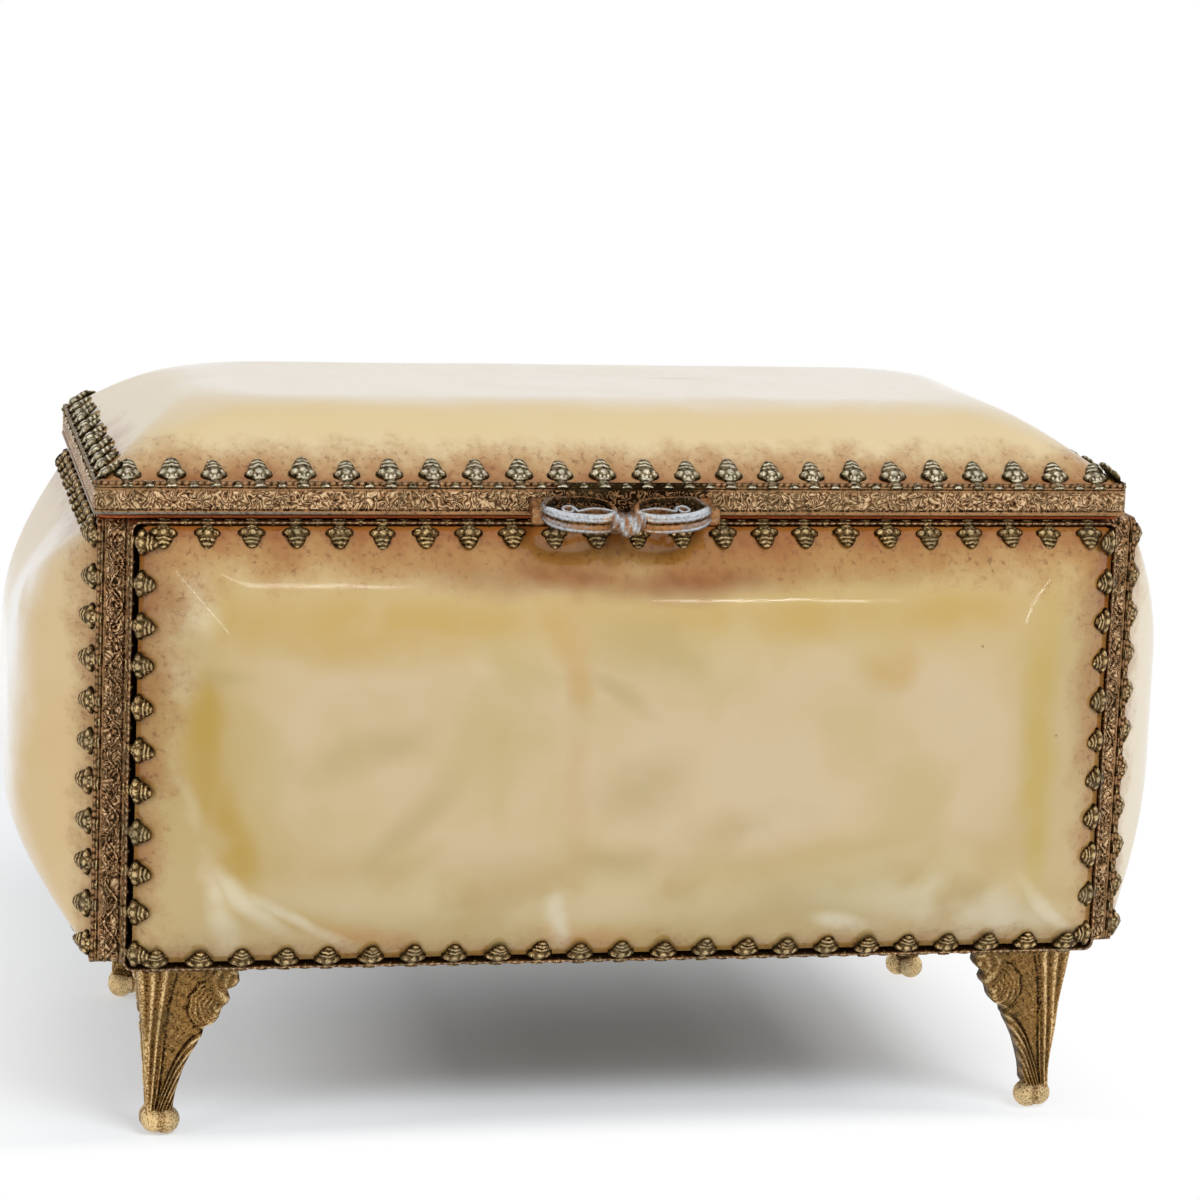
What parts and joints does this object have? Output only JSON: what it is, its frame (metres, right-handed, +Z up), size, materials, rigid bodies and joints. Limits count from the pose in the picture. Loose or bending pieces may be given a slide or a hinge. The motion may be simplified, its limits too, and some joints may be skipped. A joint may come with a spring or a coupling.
{
  "type": "jewelry box",
  "caption": "Footed jewelry box of puffed pearl acrylic panels held by prongs in stamped gilt frames, with a hinged lid and a bow-shaped pull.",
  "frame": {"origin": "on the floor under the middle of the box, at the bottom centre of its bounding box", "axes": "+Z up, +X along the box's length, -Y towards the front with the lid's pull"},
  "size_m": [0.1802, 0.096, 0.1086],
  "materials": {
    "pearl_acrylic": "glossy pearlescent cream acrylic with yellow and white swirls",
    "gilt_gallery": "stamped and engraved strip, antique copper-gilt with dark recesses",
    "worn_casting": "cast, its gilding worn to silver grey",
    "cast_feet": "cast, antique gilt with dark flutes",
    "hinge_brass": "dull rolled sheet",
    "sheet_brass": "dull sheet with light scratches",
    "pin_steel": "plain wire and screws",
    "velvet": "short rust-coloured velvet pile"
  },
  "bodies": {
    "body": {"front_frame": "gilt_gallery", "back_frame": "gilt_gallery", "left_frame": "gilt_gallery", "right_frame": "gilt_gallery", "front_panel": "pearl_acrylic", "back_panel": "pearl_acrylic", "left_panel": "pearl_acrylic", "right_panel": "pearl_acrylic", "left_hinge_body_leaf": "hinge_brass", "right_hinge_body_leaf": "hinge_brass", "left_hinge_pin": "pin_steel", "right_hinge_pin": "pin_steel", "base_plate": "sheet_brass", "base_pad": "velvet", "front_left_foot": "cast_feet", "front_right_foot": "cast_feet", "back_left_foot": "cast_feet", "back_right_foot": "cast_feet", "foot_screws": "pin_steel"},
    "lid": {"lid_frame": "gilt_gallery", "lid_panel": "pearl_acrylic", "lid_lining": "velvet", "lid_pull": "worn_casting", "pull_rivets": "worn_casting", "left_hinge_lid_leaf": "hinge_brass", "right_hinge_lid_leaf": "hinge_brass"}
  },
  "joints": [
    {"name": "lid_hinge", "type": "hinge", "parent": "body", "child": "lid", "pos_m": [0, 0.0399, 0.0932], "axis": [-1, 0, 0], "range_deg": [0, 100]}
  ]
}
